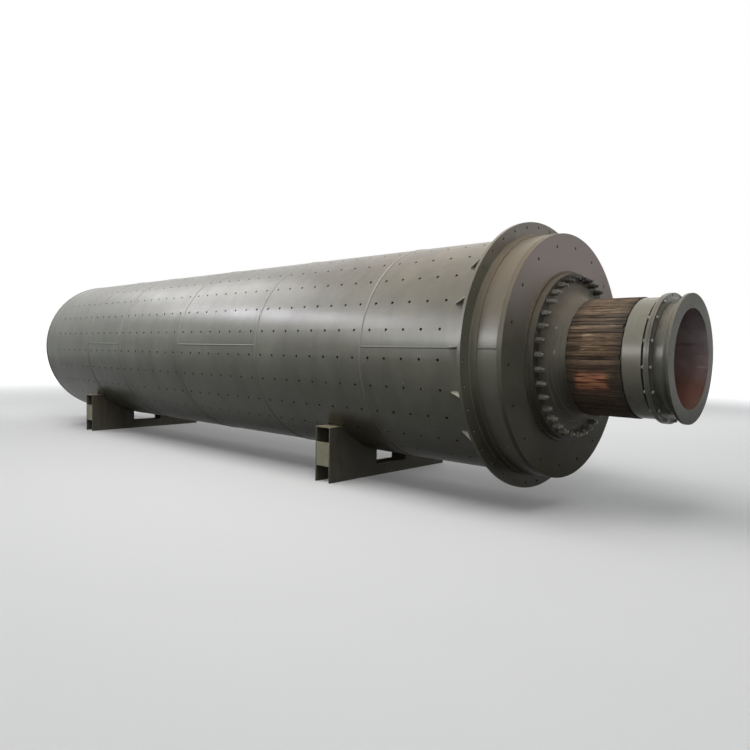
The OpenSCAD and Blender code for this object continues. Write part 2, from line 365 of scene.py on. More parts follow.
class Graph:
    """A small hand for a node tree: its calls add nodes and return their outputs."""

    def __init__(self, tree):
        self.nodes, self.links = tree.nodes, tree.links

    def feed(self, inputs, values):
        """Links or sets inputs, by name or number."""
        for key, value in values.items():
            if isinstance(value, bpy.types.NodeSocket):
                self.links.new(value, inputs[key])
            else:
                inputs[key].default_value = (*value, 1) if inputs[key].type == "RGBA" else value

    def add(self, kind, values=None, **settings):
        """Adds a node with its settings, feeds its inputs and returns its outputs."""
        node = self.nodes.new("ShaderNode" + kind)
        for name, value in settings.items():
            setattr(node, name, value)
        self.feed(node.inputs, values or {})
        return node.outputs

    def math(self, operation, first, second=0.0):
        return self.add("Math", {0: first, 1: second}, operation=operation)[0]

    def plus(self, first, second):
        return self.math("ADD", first, second)

    def times(self, first, *others):
        for other in others:
            first = self.math("MULTIPLY", first, other)
        return first

    def length(self, vector):
        return self.add("VectorMath", {0: vector}, operation="LENGTH")["Value"]

    def spread(self, value, low, high, to_low=0.0, to_high=1.0, easing="LINEAR"):
        """Maps a range of values to another, and holds it at both ends."""
        values = {"Value": value, "From Min": low, "From Max": high, "To Min": to_low, "To Max": to_high}
        return self.add("MapRange", values, interpolation_type=easing)[0]

    def between(self, value, start, risen, falling, end):
        """Rises to one from start to risen, and falls back to none from falling to end."""
        return self.times(self.spread(value, start, risen), self.spread(value, falling, end, 1.0, 0.0))

    def mix(self, amount, first, second, blend="MIX"):
        return self.add("Mix", {"Factor": amount, 6: first, 7: second}, data_type="RGBA", blend_type=blend)[2]

    def seen_rays(self):
        """One for camera, glossy and transmission rays, none for light that bounces."""
        path = self.add("LightPath")
        first = self.math("MAXIMUM", path["Is Camera Ray"], path["Is Glossy Ray"])
        return self.math("MAXIMUM", first, path["Is Transmission Ray"])


class Shader(Graph):
    """A material in the making: its colour is built up coat by coat."""

    def __init__(self, name, colour=None):
        self.material = bpy.data.materials.new(name)
        self.material.use_nodes = True
        super().__init__(self.material.node_tree)
        self.surface = self.nodes["Principled BSDF"].inputs
        self.place = self.add("TexCoord")["Object"]
        self.x, self.y, self.z = self.add("SeparateXYZ", {0: self.place})
        self.up = self.add("SeparateXYZ", {0: self.add("NewGeometry")["Normal"]})[2]
        self.colour = colour

    def coat(self, colour, *amounts):
        """Lays another colour over the present one, by the product of some amounts."""
        self.colour = self.mix(self.times(*amounts), self.colour, colour)

    def tinted(self, tint):
        """The present colour, multiplied by a tint."""
        return self.mix(1.0, self.colour, tint, "MULTIPLY")

    def mottle(self, noise, low, high, dark, light):
        """Varies the present colour between two tints."""
        self.colour = self.mix(self.spread(noise, low, high), self.tinted(dark), self.tinted(light))

    def mapped(self, scale, shift):
        """The place on the object, scaled and then shifted."""
        return self.add("Mapping", {"Vector": self.place, "Scale": scale, "Location": shift})[0]

    def noise(self, scale, detail=4.0, rough=0.55, stretch=(1, 1, 1), shift=(0, 0, 0), bend=0.0):
        values = {"Vector": self.mapped(stretch, shift), "Scale": scale, "Detail": detail, "Roughness": rough,
                  "Distortion": bend}
        return self.add("TexNoise", values)["Fac"]

    def ragged(self, value, scale, detail, reach, low=0.2, high=0.8):
        """A value made uneven by noise, by at most reach up or down."""
        return self.plus(value, self.spread(self.noise(scale, detail), low, high, -reach, reach))

    def radius(self):
        """Distance of the surface from the drum's axis."""
        height = self.math("SUBTRACT", self.z, AXIS_HEIGHT)
        return self.length(self.add("CombineXYZ", {"Y": self.y, "Z": height})[0])

    def strips(self, middles, inner, outer):
        """One within a distance of each place along the axis, none past a larger one."""
        total = 0.0
        for middle in middles:
            away = self.math("ABSOLUTE", self.math("SUBTRACT", self.x, middle))
            total = self.plus(self.spread(away, inner, outer, 1.0, 0.0), total)
        return total

    def near_saddles(self):
        """One over each saddle, none elsewhere."""
        boxes = [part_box(node) for node in both("_saddle_caps")]
        reach = (boxes[0][1][0] - boxes[0][0][0]) / 2 + 0.20
        return self.strips([(low[0] + high[0]) / 2 for low, high in boxes], reach - 0.24, reach)

    def beside_seams(self):
        """One on a thin line at each round seam's edge that faces the gear flange, none elsewhere."""
        weld_edge = 0.021
        return self.strips([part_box(name)[0][0] + weld_edge for name in COURSES[:-1]], 0.006, 0.009)

    def spot(self, middle, size, soft=0.35):
        """One within an egg shape of three half sizes round a point, none outside."""
        scale = tuple(1 / part for part in size)
        shift = tuple(-where / part for where, part in zip(middle, size))
        return self.spread(self.length(self.mapped(scale, shift)), 1.0 - soft, 1.0, 1.0, 0.0)

    def bump(self, height, distance, strength, under=None):
        values = {"Strength": strength, "Distance": distance, "Height": height}
        if under is not None:
            values["Normal"] = under
        return self.add("Bump", values)[0]

    def attribute(self, name):
        return self.add("Attribute", attribute_name=name)["Fac"]

    def finish(self, roughness, normal=None, metallic=0.0, specular=0.5):
        """Puts the colour and the rest on the surface."""
        self.feed(self.surface, {"Base Color": self.colour, "Roughness": roughness, "Metallic": metallic,
                                 "Specular IOR Level": specular})
        if normal is not None:
            self.feed(self.surface, {"Normal": normal})
        return self.material


def shade_of(colour, factor):
    """A colour made darker or lighter."""
    return tuple(min(1.0, part * factor) for part in colour)


def enamel(name, paint, dust_colour=None, bare=0.25, specular=0.25):
    """Worn machine enamel: mottled, dusty on top, grimy in runs, with rust, chips and faint waves; painted
    shade darkens its lower part and a line beside each round seam, the hole walls are near black with mill
    scale and painted shade, and painted light pales the upper parts of the cover and flange faces.
    """
    base, grime_and_shade = paint.drum_colour, paint.grime_and_shade_colour
    # The second colour is painted light for the upper parts of the cover's and flange's upright faces.
    settled_dust, painted_face_light = (0.218, 0.166, 0.108), (0.610, 0.512, 0.470)
    chip, hole_wall = (0.30, 0.27, 0.21), (0.022, 0.019, 0.016)
    # Painted shade: a warm dark that darkens the lower parts of the drum and covers.
    oily_and_shade = tuple(part * warm for part, warm in zip(grime_and_shade, (1.40, 1.30, 0.80)))
    tint_start, tint_end, tan_start, tan_end = -3.0, 5.6, 1.5, 4.2
    s = Shader(name, base)
    s.coat(paint.near_tint, s.spread(s.x, tint_start, tint_end))
    s.mottle(s.noise(0.9, 6.0, 0.62, bend=0.4), 0.32, 0.68, (0.80, 0.80, 0.78), (1.14, 1.13, 1.10))
    s.coat(shade_of(base, 1.45), s.spread(s.noise(2.7, 5.0, 0.6, shift=(3, 1, 2)), 0.55, 0.72, 0.0, 0.35))
    runs = s.noise(1.0, 2.0, 0.45, stretch=(4.0, 1.4, 0.7), bend=0.2)
    s.coat(grime_and_shade, s.spread(runs, 0.50, 0.90, 0.0, 0.30))
    level = s.ragged(s.z, 1.6, 4.0, 0.12)
    # Painted shade, darker towards the floor.
    s.coat(oily_and_shade, s.spread(level, 0.45, 1.38, 0.90, 0.0))

    dust_noise = s.spread(s.noise(3.4, 7.0, 0.7, shift=(0, 4, 0)), 0.30, 0.70, bare, 1.0)
    lying = s.times(s.spread(s.up, 0.08, 0.85), dust_noise)
    # Dust on upward faces; a given dust colour, as for the gussets, is painted light there instead.
    dust = dust_colour or s.mix(s.spread(s.x, tan_start, tan_end), paint.dust_colour, paint.near_dust_colour)
    s.coat(dust, lying, 0.95 if dust_colour else paint.dust_cover)
    streaks = s.noise(2.0, 5.0, 0.65, stretch=(6.0, 0.8, 0.8), shift=(3, 3, 0))
    settled = s.times(s.spread(s.x, FLANGE_BACK + 0.01, FLANGE_BACK + 0.07), s.spread(s.up, -0.05, 0.62))
    s.coat(settled_dust, settled, s.spread(streaks, 0.30, 0.62, 0.35, 1.0), 0.85)
    # Painted light: the upper parts of the cover's and gear flange's upright faces are paled.
    upright = s.spread(s.up, 0.10, 0.30, 1.0, 0.0)
    cover_face = s.times(upright, s.spread(s.x, COVER_FACE - 0.012, COVER_FACE - 0.004))
    flange_face = s.times(upright, s.spread(s.x, FLANGE_BACK - 0.02, FLANGE_BACK))
    high_cover = s.times(cover_face, s.spread(level, 1.75, 2.65, 0.0, 0.92))
    high_flange = s.times(flange_face, s.spread(level, 2.50, 3.00, 0.0, 0.26))
    s.coat(painted_face_light, s.math("MAXIMUM", high_cover, high_flange))

    s.coat(shade_of(base, 0.5), s.spread(s.noise(110.0, 3.0, 0.7), 0.60, 0.75, 0.0, 0.15))
    chips = s.spread(s.noise(16.0, 2.0, 0.5, shift=(7, 7, 7)), 0.745, 0.765)
    s.coat(chip, chips, 0.6)
    under = s.spread(s.ragged(s.z, 5.0, 5.0, 0.07), 0.70, 0.80, 1.0, 0.0)
    rusty = s.spread(s.noise(8.0, 6.0, 0.7, stretch=(1.6, 1, 0.7)), 0.55, 0.68, 0.0, 0.7)
    s.coat(paint.rust_colour, under, rusty, s.near_saddles())
    # Painted shadow: a thin dark line beside each round seam, on the parts that look up.
    s.coat(grime_and_shade, s.beside_seams(), s.spread(s.up, 0.25, 0.50, 0.0, 0.60))
    # Mill scale and painted shade: within the plate's thickness the hole walls and the drum's inner side are
    # near black, so the holes look dark.
    within = s.between(s.x, SHELL_START, SHELL_START + 0.01, SHELL_END - 0.01, SHELL_END)
    deep = s.spread(s.radius(), SHELL_RADIUS - 0.008, SHELL_RADIUS - 0.004, 1.0, 0.0)
    s.coat(hole_wall, within, deep)

    roughness = s.spread(s.noise(1.7, 1.0, 0.4, shift=(1, 9, 4)), 0.0, 1.0, 0.25, 0.37)
    waves = s.bump(s.noise(1.3, 1.5, 0.4, shift=(0, 0, 5)), 0.0135, 0.6)
    skin = s.bump(s.noise(42.0, 3.0, 0.6), 0.0006, 0.6, waves)
    return s.finish(roughness, skin, specular=specular)


def red_primer(s, paint, scrape):
    """Builds up red primer: grey haze made pale as painted light in the upper half, brighter low down, dark
    patches and scrapes.
    """
    bright, dark_tint = (0.46, 0.185, 0.130), (0.62, 0.60, 0.58)
    scraped, pale_scrape = (0.17, 0.125, 0.10), (0.62, 0.52, 0.46)
    height = s.ragged(s.z, 1.5, 3.0, 0.2, 0.0, 1.0)
    s.colour = paint.primer_colour
    # Painted light: the pale haze brightens the upper half of the bore.
    s.coat(paint.haze_and_light_colour, s.spread(height, AXIS_HEIGHT - 0.30, AXIS_HEIGHT + 0.22))
    low = s.spread(height, AXIS_HEIGHT - 0.46, AXIS_HEIGHT - 0.22, 1.0, 0.0)
    patches = s.spread(s.noise(3.6, 4.0, 0.6, shift=(1, 1, 6)), 0.40, 0.58)
    s.coat(bright, low, patches, 0.8)
    s.coat(s.tinted(dark_tint), s.spread(s.noise(3.0, 5.0, 0.6, shift=(5, 0, 0)), 0.35, 0.65, 1.0, 0.0))
    scrapes = s.noise(2.5, 4.0, 0.6, stretch=(1.0, 9.0, 9.0), bend=0.6)
    s.coat(scraped, s.spread(scrapes, 0.60, 0.70, 0.0, 0.5))
    if scrape:
        s.coat(pale_scrape, s.spot(*scrape))


def primed_enamel(name, base, paint, primer_radius, scuffs=(), scrape=None, specular=0.27):
    """Enamel outside, with dust, dirty runs and scuffs, darker low on the neck and past the mounting flange,
    a dark band round the stud circle, and red primer within a radius of the axis.
    """
    grime_and_shade = paint.grime_and_shade_colour
    neck_dust, turned_metal = (0.215, 0.172, 0.125), (0.250, 0.235, 0.175)
    pale_collar, chip, scuff = (0.272, 0.258, 0.198), (0.27, 0.24, 0.19), (0.42, 0.39, 0.31)
    collar_radius, ring_start, ring_end = 0.606, 0.775, 0.896
    s = Shader(name, base)
    s.mottle(s.noise(2.1, 6.0, 0.62, bend=0.5), 0.30, 0.70, (0.72, 0.72, 0.70), (1.18, 1.16, 1.12))
    runs = s.noise(1.2, 5.0, 0.65, stretch=(10.0, 2.5, 0.9), bend=0.2)
    s.coat(grime_and_shade, s.spread(runs, 0.54, 0.80, 0.0, 0.45))
    dust_noise = s.spread(s.noise(5.0, 7.0, 0.7, shift=(0, 4, 0)), 0.30, 0.70, 0.2, 1.0)
    s.coat(paint.near_dust_colour, s.spread(s.up, 0.25, 0.98), dust_noise, paint.dust_cover)

    outward, radius = s.math("ABSOLUTE", s.x), s.radius()
    level = s.ragged(s.z, 1.8, 4.0, 0.12)
    neck = s.spread(outward, WRAP_START - 0.014, WRAP_START + 0.006, 1.0, 0.0)
    s.coat(neck_dust, neck, s.spread(level, 1.75, 2.20, 0.0, 0.55))
    # The neck is darker towards the bottom.
    s.coat(grime_and_shade, neck, s.spread(level, 0.90, 1.65, 0.85, 0.10))
    turned = s.noise(1.0, 4.0, 0.6, stretch=(60.0, 2.0, 2.0), shift=(5, 0, 2))
    s.coat(turned_metal, neck, s.spread(turned, 0.50, 0.70, 0.0, 0.40))
    collar = s.between(outward, WRAP_END, WRAP_END + 0.003, COLLAR_END - 0.001, COLLAR_END)
    collar = s.times(collar, s.spread(radius, collar_radius, collar_radius + 0.005, 1.0, 0.0))
    # The collar is paler, more so higher up.
    s.coat(pale_collar, collar, s.spread(level, 1.10, 1.90, 0.30, 0.80))
    mouth = s.spread(outward, MOUNT_FACE + 0.004, MOUNT_FACE + 0.024)
    # Past the mounting flange it is darker towards the bottom.
    s.coat(grime_and_shade, mouth, s.spread(level, 1.06, 1.36, 0.90, 0.0))
    # A darker, uneven band round the stud circle.
    stud_ring = s.between(radius, ring_start, ring_start + 0.025, ring_end - 0.016, ring_end)
    s.coat(grime_and_shade, stud_ring, s.spread(s.noise(9.0, 4.0, 0.6), 0.25, 0.55, 0.35, 0.85))
    chips = s.spread(s.noise(13.0, 3.0, 0.55, shift=(2, 7, 1)), 0.68, 0.70)
    s.coat(chip, chips, 0.55)
    for where, size in scuffs:
        s.coat(scuff, s.spot(where, size), 0.75)

    outside = s.colour
    red_primer(s, paint, scrape)
    edge = s.ragged(radius, 14.0, 4.0, 0.004)
    s.coat(outside, s.spread(edge, primer_radius - 0.001, primer_radius + 0.001))

    roughness = s.spread(s.noise(2.6, 1.0, 0.4, shift=(1, 9, 4)), 0.0, 1.0, 0.20, 0.38)
    dull_neck = s.plus(s.times(neck, 0.24), roughness)
    return s.finish(dull_neck, s.bump(s.noise(34.0, 4.0, 0.6), 0.0012, 0.6), specular=specular)


def weld_metal(name, base, paint, low, high):
    """Painted weld bead with ripples and rust: low and high shade the base by how it looks up, as painted
    light and shade, and it darkens low down as painted shade.
    """
    # Painted light and shade: low shade where the bead looks down, high shade where it looks up.
    s = Shader(name, shade_of(base, low))
    s.coat(shade_of(base, high), s.spread(s.up, -0.05, 0.60))
    s.coat(base, s.spread(s.noise(6.0, 5.0, 0.6), 0.3, 0.7, 0.0, 0.35))
    # Painted shade, darker towards the floor.
    s.coat(paint.grime_and_shade_colour, s.spread(s.z, 0.45, 1.50, 0.80, 0.0))
    s.coat(paint.rust_colour, s.spread(s.noise(11.0, 4.0, 0.6, shift=(3, 0, 0)), 0.60, 0.72, 0.0, 0.6))
    ripples = s.noise(85.0, 2.0, 0.5)
    roughness = s.spread(ripples, 0.3, 0.7, 0.38, 0.55)
    return s.finish(roughness, s.bump(ripples, 0.003, 0.8), specular=0.27)


def saddle_paint(name, base, paint):
    """Thin grey paint over plate, rusty from the edges and the drum above, with tan dust on top."""
    tan_dust = (0.560, 0.440, 0.280)
    s = Shader(name, shade_of(base, 0.72))
    s.coat(shade_of(base, 1.25), s.noise(3.0, 6.0, 0.65))
    runs = s.noise(1.3, 6.0, 0.7, stretch=(7.0, 7.0, 0.8), bend=0.3)
    s.coat(shade_of(paint.rust_colour, 0.62), s.spread(runs, 0.52, 0.74, 0.0, 0.6))
    scale = s.spread(s.noise(9.0, 6.0, 0.68, shift=(4, 1, 0)), 0.58, 0.70, 0.0, 0.75)
    s.coat(paint.rust_colour, scale, s.spread(s.z, 0.30, 0.68, 0.35, 1.0))
    s.coat(tan_dust, s.spread(s.up, 0.4, 0.95), s.spread(s.noise(8.0, 5.0), 0.3, 0.7, 0.5, 1.0))
    skin = s.bump(s.noise(60.0, 5.0, 0.7), 0.0012, 0.8, s.bump(scale, 0.001, 0.7))
    return s.finish(s.spread(scale, 0.0, 0.75, 0.50, 0.85), skin, specular=0.2)


def dull_steel(name, base, paint, rusted):
    """Dull bare steel, rusty in places, black with grease high up, most on the side away from the camera."""
    s = Shader(name, shade_of(base, 0.7))
    s.coat(shade_of(base, 1.3), s.noise(40.0, 4.0, 0.6))
    rust = s.spread(s.noise(7.0, 5.0, 0.65), 0.50, 0.66)
    s.coat(paint.rust_colour, rust, rusted)
    level = s.plus(s.ragged(s.z, 5.0, 4.0, 0.10, 0.0, 1.0), s.times(s.y, 0.35))
    grease = s.spread(level, AXIS_HEIGHT + 0.50, AXIS_HEIGHT + 0.72)
    s.coat(shade_of(paint.grime_and_shade_colour, 0.6), grease, 0.88)
    metal = s.spread(s.math("MAXIMUM", rust, grease), 0.0, 1.0, 0.55, 0.05)
    roughness = s.spread(s.noise(20.0, 3.0), 0.3, 0.7, 0.36, 0.60)
    return s.finish(roughness, s.bump(s.noise(160.0, 3.0, 0.6), 0.0005, 0.7), metallic=metal)


def grain_ramp(s, value):
    """Wood from dark grain to pale."""
    ramp = s.nodes.new("ShaderNodeValToRGB")
    dark, pale = ramp.color_ramp.elements
    dark.position, dark.color = 0.34, (0.040, 0.025, 0.018, 1)
    pale.position, pale.color = 0.70, (0.500, 0.345, 0.225, 1)
    ramp.color_ramp.elements.new(0.52).color = (0.190, 0.123, 0.078, 1)
    s.feed(ramp.inputs, {0: value})
    return ramp.outputs["Color"]


def rough_boards(name):
    """Rough-sawn battens, oiled and dirty, each a little different, some stained red or yellow, darker
    towards the bottom and with painted shade at both ends.
    """
    crack, blot = (0.022, 0.016, 0.012), (0.030, 0.024, 0.019)
    low_darkening, painted_end_shade = (0.022, 0.018, 0.013), (0.045, 0.043, 0.036)
    dark_grey, light_grey = (0.060, 0.062, 0.048), (0.150, 0.150, 0.122)
    dark_red, light_red = (0.130, 0.030, 0.018), (0.950, 0.430, 0.240)
    tan, yellow_hair = (0.270, 0.165, 0.080), (0.640, 0.500, 0.330)
    s = Shader(name)
    grain = s.noise(1.0, 8.0, 0.68, stretch=(3.0, 70.0, 70.0), bend=0.6)
    s.colour = grain_ramp(s, s.plus(grain, s.spread(s.attribute("tone"), 0.0, 1.0, -0.09, 0.09)))
    cracks = s.noise(1.0, 5.0, 0.6, stretch=(1.6, 130.0, 130.0), shift=(4, 4, 4), bend=0.3)
    s.coat(crack, s.spread(cracks, 0.60, 0.68, 0.0, 0.8))
    grey = s.spread(s.noise(2.3, 5.0, 0.6, shift=(0, 3, 3)), 0.46, 0.70, 0.0, 0.50)
    s.coat(s.mix(grain, dark_grey, light_grey), grey)
    s.coat(blot, s.spread(s.noise(6.0, 5.0, 0.65, shift=(8, 3, 3)), 0.56, 0.68, 0.0, 0.65))

    patchy = s.spread(s.noise(8.0, 5.0, 0.6, stretch=(0.5, 1, 1)), 0.30, 0.58)
    lines = s.noise(1.0, 3.0, 0.55, stretch=(1.8, 34.0, 34.0), shift=(2, 0, 6), bend=0.3)
    red = s.times(s.attribute("red_stain"), s.spread(patchy, 0.0, 1.0, 0.72, 1.0))
    s.coat(s.mix(s.spread(lines, 0.44, 0.56), dark_red, light_red), red)
    yellow = s.times(s.attribute("yellow_stain"), patchy)
    s.coat(tan, yellow, 0.5)
    hairs = s.noise(1.0, 4.0, 0.6, stretch=(2.5, 60.0, 60.0), shift=(6, 0, 2), bend=0.5)
    s.coat(yellow_hair, yellow, s.spread(hairs, 0.56, 0.62))

    soft = s.spread(s.noise(2.0, 4.0), 0.2, 0.8, -0.08, 0.08)
    # Darker towards the bottom.
    low_part = s.spread(s.plus(s.z, soft), AXIS_HEIGHT - 0.46, AXIS_HEIGHT - 0.22, 0.66, 0.0)
    s.coat(low_darkening, low_part)
    # Painted shade near both ends of the battens.
    outward = s.plus(s.math("ABSOLUTE", s.x), s.times(soft, 0.4))
    inner_end = s.spread(outward, WRAP_START + 0.02, WRAP_START + 0.12, 0.55, 0.0)
    outer_end = s.spread(outward, WRAP_END - 0.12, WRAP_END - 0.02, 0.0, 0.60)
    s.coat(painted_end_shade, s.plus(inner_end, outer_end))
    chipped = s.bump(s.noise(26.0, 5.0, 0.65), 0.003, 0.6, s.bump(grain, 0.004, 0.9))
    return s.finish(s.spread(grain, 0.3, 0.7, 0.72, 0.90), chipped, specular=0.16)


class MILL_OT_paint(bpy.types.Operator):
    """Make the finishes and paint the drum, the trunnions, the sleeves and the saddles"""
    bl_idname = "mill.paint"
    bl_label = "Paint the mill"

    def execute(self, context):
        paint = context.scene.mill_paint
        sleeve, rim = paint.sleeve_colour, shade_of(paint.sleeve_colour, 1.12)
        neck_scuffs = (
            ((5.747, -0.559, 1.921), (0.012, 0.02, 0.018)),
            ((5.764, -0.628, 1.678), (0.010, 0.02, 0.03)))
        rim_chip = (((6.879, -0.496, 1.676), (0.012, 0.014, 0.016)),)
        scrape = ((6.815, 0.482, 1.545), (0.058, 0.03, 0.006))
        MATERIALS.update(
            drum=enamel("drum_enamel", paint),
            cover=enamel("cover_enamel", paint, specular=0.05),
            # The gussets' pale colour on upward faces is painted light.
            gusset=enamel("gusset_enamel", paint, paint.gusset_painted_light_colour, bare=0.75),
            casting=primed_enamel(
                "casting_enamel", paint.casting_colour, paint, TRUNNION_PRIMER_RADIUS, neck_scuffs),
            sleeve=primed_enamel("sleeve_enamel", sleeve, paint, SLEEVE_PRIMER_RADIUS, rim_chip, scrape),
            end_flange=primed_enamel(
                "end_flange_enamel", rim, paint, SLEEVE_PRIMER_RADIUS, rim_chip, scrape, specular=0.05),
            # Each weld's low and high shades are painted shade and painted light.
            weld=weld_metal("weld_enamel", paint.weld_colour, paint, 1.1, 2.5),
            long_weld=weld_metal("long_weld_enamel", paint.drum_colour, paint, 0.72, 1.00),
            end_weld=weld_metal("end_weld_enamel", paint.end_weld_colour, paint, 0.80, 1.00),
            saddle_weld=weld_metal("saddle_weld_metal", paint.saddle_weld_colour, paint, 1.2, 2.3),
            # The saddle webs' darker colour is painted shade.
            saddle_web=saddle_paint("saddle_web_shaded_paint", paint.saddle_web_shade_colour, paint),
            saddle_plate=saddle_paint("saddle_plate_paint", paint.saddle_plate_colour, paint),
            steel=dull_steel("dull_stud_steel", paint.stud_colour, paint, 0.25),
            bright_steel=dull_steel("bolt_steel", paint.bolt_colour, paint, 0.2),
            boards=rough_boards("rough_boards"),
        )
        for finish, names in PAINTED.items():
            for name in names:
                for slot in NODES[name].material_slots:
                    slot.material = MATERIALS[finish]
        return {"FINISHED"}


class MILL_OT_seam_welds(bpy.types.Operator):
    """Lay the round weld beads between the courses and at the ends of the drum"""
    bl_idname = "mill.seam_welds"
    bl_label = "Seam welds"

    def execute(self, context):
        welds = context.scene.mill_welds
        sunk = welds.seam_bead - welds.seam_proud
        beads = [ring_bead(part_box(name)[0][0], SHELL_RADIUS - sunk, welds.seam_bead, 11 + number)
                 for number, name in enumerate(COURSES[:-1])]
        finish_piece(beads, "seam_welds", "weld")
        corner = welds.fillet_bead * 0.4
        barrel_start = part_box("end_barrel")[0][0]
        cover_edges = [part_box("near_cover")[0][0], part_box("far_cover")[1][0]]
        parts = [
            ring_bead(FLANGE_BACK - corner, SHELL_RADIUS + corner, welds.fillet_bead * 1.4, 31),
            ring_bead(barrel_start + corner, SHELL_RADIUS + corner, welds.fillet_bead * 1.3, 32),
        ]
        for number, x in enumerate(cover_edges):
            parts.append(ring_bead(x, SHELL_RADIUS - sunk * 0.9, welds.seam_bead * 0.80, 41 + number))
        finish_piece(parts, "end_welds", "end_weld")
        return {"FINISHED"}


class MILL_OT_long_welds(bpy.types.Operator):
    """Lay the lengthwise weld of each course, on one side of the drum or the other"""
    bl_idname = "mill.long_welds"
    bl_label = "Lengthwise welds"

    def execute(self, context):
        welds = context.scene.mill_welds
        angle = math.degrees(welds.long_seam_angle)
        radius = SHELL_RADIUS - welds.seam_bead + welds.seam_proud * 0.8
        camera_side = ("end_barrel", "shell_course_1", "shell_course_3", "shell_course_5")
        margin, step, ripple = 0.008, 0.03, 0.0007
        parts = []
        for number, name in enumerate(["end_barrel"] + COURSES):
            low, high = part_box(name)
            place = round_drum(0, radius, angle if name in camera_side else 180 - angle)
            start = place @ Vector((low[0] + margin, 0, 0))
            end = place @ Vector((high[0] - margin, 0, 0))
            steps = max(8, int((high[0] - low[0]) / step))
            parts.append(bead("long_seam", start, end, welds.seam_bead, steps, 60 + number, ripple))
        finish_piece(parts, "long_welds", "long_weld")
        return {"FINISHED"}


class MILL_OT_gusset_welds(bpy.types.Operator):
    """Lay the small fillet welds at the feet and backs of the flange gussets"""
    bl_idname = "mill.gusset_welds"
    bl_label = "Gusset welds"

    def execute(self, context):
        radius = context.scene.mill_welds.fillet_bead
        low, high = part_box("flange_gussets")
        gussets, first_angle, half_plate, rise = 18, 3.3, 0.006, 0.128
        away = half_plate + radius * 0.35
        beads = []
        for number, side in enumerate((-1, 1)):
            y, z = side * away, radius * 0.2
            beads.append(bead("gusset_bead", (low[0], y, z), (high[0], y, z), radius, 9, 80 + number))
            x = high[0] - radius * 0.3
            beads.append(bead("gusset_bead", (x, y, 0), (x, y, rise), radius, 6, 90 + number))
        pattern = join(beads, "gusset_bead")
        angles = [first_angle + 360 * number / gussets for number in range(gussets)]
        made = copies(pattern, [round_drum(0, SHELL_RADIUS, angle) for angle in angles])
        drop(pattern)
        finish_piece(made, "gusset_welds", "weld")
        return {"FINISHED"}


class MILL_OT_journal_boards(bpy.types.Operator):
    """Lay rough battens round both journals"""
    bl_idname = "mill.journal_boards"
    bl_label = "Journal boards"

    def execute(self, context):
        boards = context.scene.mill_boards
        for end, side in ENDS.items():
            node = end + "_journal_wrap"
            low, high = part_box(node)
            width = math.tau * (high[2] - AXIS_HEIGHT) / boards.count * 0.985
            pattern = self.batten(width, boards.thickness, high[0] - low[0])
            seeded = random.Random(boards.seed + side)
            parts = [self.lay(pattern, seeded, side, low, high, boards.thickness, 360 * number / boards.count)
                     for number in range(boards.count)]
            drop(pattern)
            piece = finish_piece(parts, end + "_journal_boards", "boards")
            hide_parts(node)
        return {"FINISHED"}

    def batten(self, width, thickness, length):
        """One rough batten along X, its outer face up and a little crowned."""
        slices = 16
        obj = primitive(bpy.ops.mesh.primitive_cube_add, "batten", size=1, scale=(length, width, thickness))
        edit(obj)
        for number in range(1, slices):
            bpy.ops.mesh.select_all(action="SELECT")
            bpy.ops.mesh.bisect(plane_co=(length * (number / slices - 0.5), 0, 0), plane_no=(1, 0, 0))
        bpy.ops.mesh.select_all(action="SELECT")
        bpy.ops.mesh.bisect(plane_co=(0, 0, 0), plane_no=(0, 1, 0))
        select_points(obj, lambda co: abs(co.y) < width * 0.1 and co.z > 0)
        bpy.ops.transform.translate(value=(0, 0, thickness * 0.05))
        close_edit()
        chamfer(obj, 0.0035, 50)
        smooth(obj, 35)
        return obj

    def lay(self, pattern, seeded, side, low, high, thickness, elevation):
        """Lays one batten, shorter, thinner, twisted and roughened a little by chance."""
        middle, length = (low[0] + high[0]) / 2, high[0] - low[0]
        short = seeded.uniform(0.0, 0.014) if seeded.random() > 0.06 else seeded.uniform(0.02, 0.04)
        thin = seeded.uniform(0.78, 1.0)
        narrow = seeded.uniform(0.90, 1.03)
        shift = seeded.uniform(-0.5, 0.3) * short * side
        twist = math.radians(seeded.uniform(-0.55, 0.55))
        tilt = math.radians(seeded.uniform(-2.5, 2.5))
        top = high[2] - AXIS_HEIGHT - 0.0012 - seeded.uniform(0.0, 0.004)
        turned = Matrix.Rotation(twist, 4, "Z") @ Matrix.Rotation(tilt, 4, "X")
        size = Matrix.Diagonal(((length - short) / length, narrow, thin, 1))
        place = round_drum(middle, top - thickness * thin / 2, elevation)
        made = copies(pattern, [place @ Matrix.Translation((shift, 0, 0)) @ turned @ size])[0]
        roughen(made, 0.0011, seeded.randrange(1000))
        red, yellow = self.stains(elevation, side)
        tone = seeded.random()
        self.mark(made, "tone", lambda x: tone)
        self.mark(made, "red_stain", lambda x: red * self.fade(x - middle + 0.025 * side))
        self.mark(made, "yellow_stain", lambda x: yellow * self.fade(x - middle - 0.035 * side))
        return made

    def mark(self, obj, name, value_at):
        """Stores a value on every point, by its place along the axis, for the material to read."""
        layer = obj.data.attributes.new(name, "FLOAT", "POINT")
        for point, item in zip(obj.data.vertices, layer.data):
            item.value = value_at(point.co.x)

    def fade(self, away):
        """One in the middle of a stain, falling to none at its ends."""
        half_length, soft = 0.175, 0.03
        return max(0.0, min(1.0, (half_length - abs(away)) / soft))

    def stains(self, elevation, side):
        """How red and how yellow a batten is, by where it lies: the far end's stains lie 40 degrees lower."""
        angle = (elevation + 180) % 360 - 180
        if side < 0:
            angle += 40
        red = 1.0 if -31 < angle < -14 else 0.25 if -36 < angle < -12 else 0.0
        yellow = 1.0 if 4 < angle < 22 else 0.0
        return red, yellow


